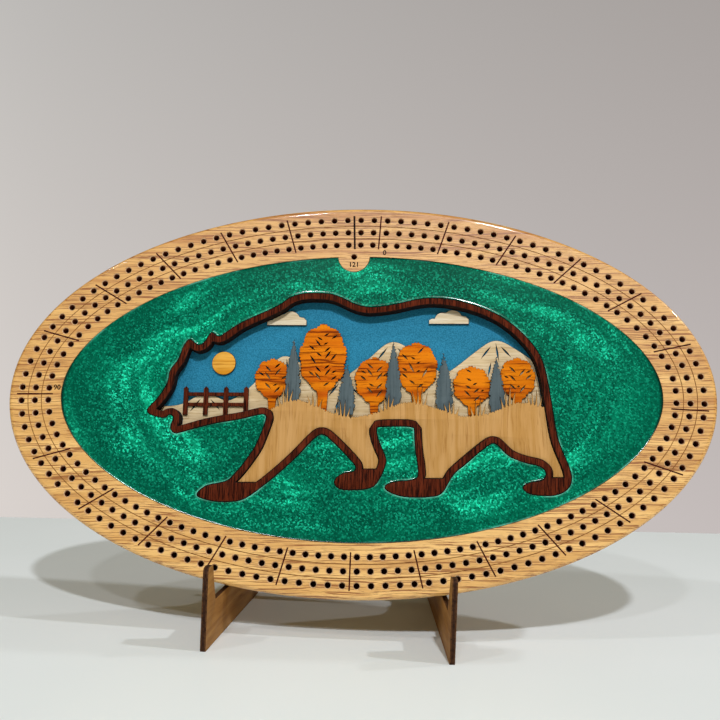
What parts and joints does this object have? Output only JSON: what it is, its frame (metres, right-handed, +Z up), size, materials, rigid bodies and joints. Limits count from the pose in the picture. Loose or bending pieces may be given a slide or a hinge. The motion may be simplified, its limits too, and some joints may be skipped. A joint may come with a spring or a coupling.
{
  "type": "cribbage board",
  "caption": "Oval oak cribbage board with resin inlay round a layered bear-shaped picture, leaning on a slotted plywood stand.",
  "frame": {"origin": "middle of the whole object's box on the surface it stands on", "axes": "+X along the board's long side to the right, +Y away from the side that the board faces, +Z up"},
  "size_m": [0.4062, 0.1502, 0.2446],
  "materials": {
    "oak": "clear gloss over light oak",
    "pearl_resin": "cast epoxy with pearl pigment",
    "mahogany": "satin, burnt edges",
    "blue_panel": "matte stained panel",
    "cream_veneer": "satin, burnt edges",
    "cloud_veneer": "satin, burnt edges",
    "gold_veneer": "satin, burnt edges",
    "orange_veneer": "satin, burnt edges",
    "slate_veneer": "satin, burnt edges",
    "tan_veneer": "satin, burnt edges",
    "plywood": "raw face, laser-burnt edges"
  },
  "bodies": {
    "stand": {"stand_leg_left": "plywood", "stand_leg_right": "plywood", "stand_brace": "plywood"},
    "board": {"board_blank": "oak", "resin_field": "pearl_resin", "bear_frame": "mahogany", "sky_panel": "blue_panel", "far_hills": "cream_veneer", "sun_disc": "gold_veneer", "cloud_left": "cloud_veneer", "cloud_right": "cloud_veneer", "autumn_tree_1": "orange_veneer", "autumn_tree_2": "orange_veneer", "autumn_tree_3": "orange_veneer", "autumn_tree_4": "orange_veneer", "autumn_tree_5": "orange_veneer", "autumn_tree_6": "orange_veneer", "poplar_1": "slate_veneer", "poplar_2": "slate_veneer", "poplar_3": "slate_veneer", "poplar_4": "slate_veneer", "poplar_5": "slate_veneer", "rail_fence": "mahogany", "foreground_bank": "tan_veneer"}
  },
  "joints": [
    {"name": "board_lift", "type": "slide", "parent": "stand", "child": "board", "axis": [0, 0.2334, 0.9724], "range_m": [0, 0.0208]}
  ]
}
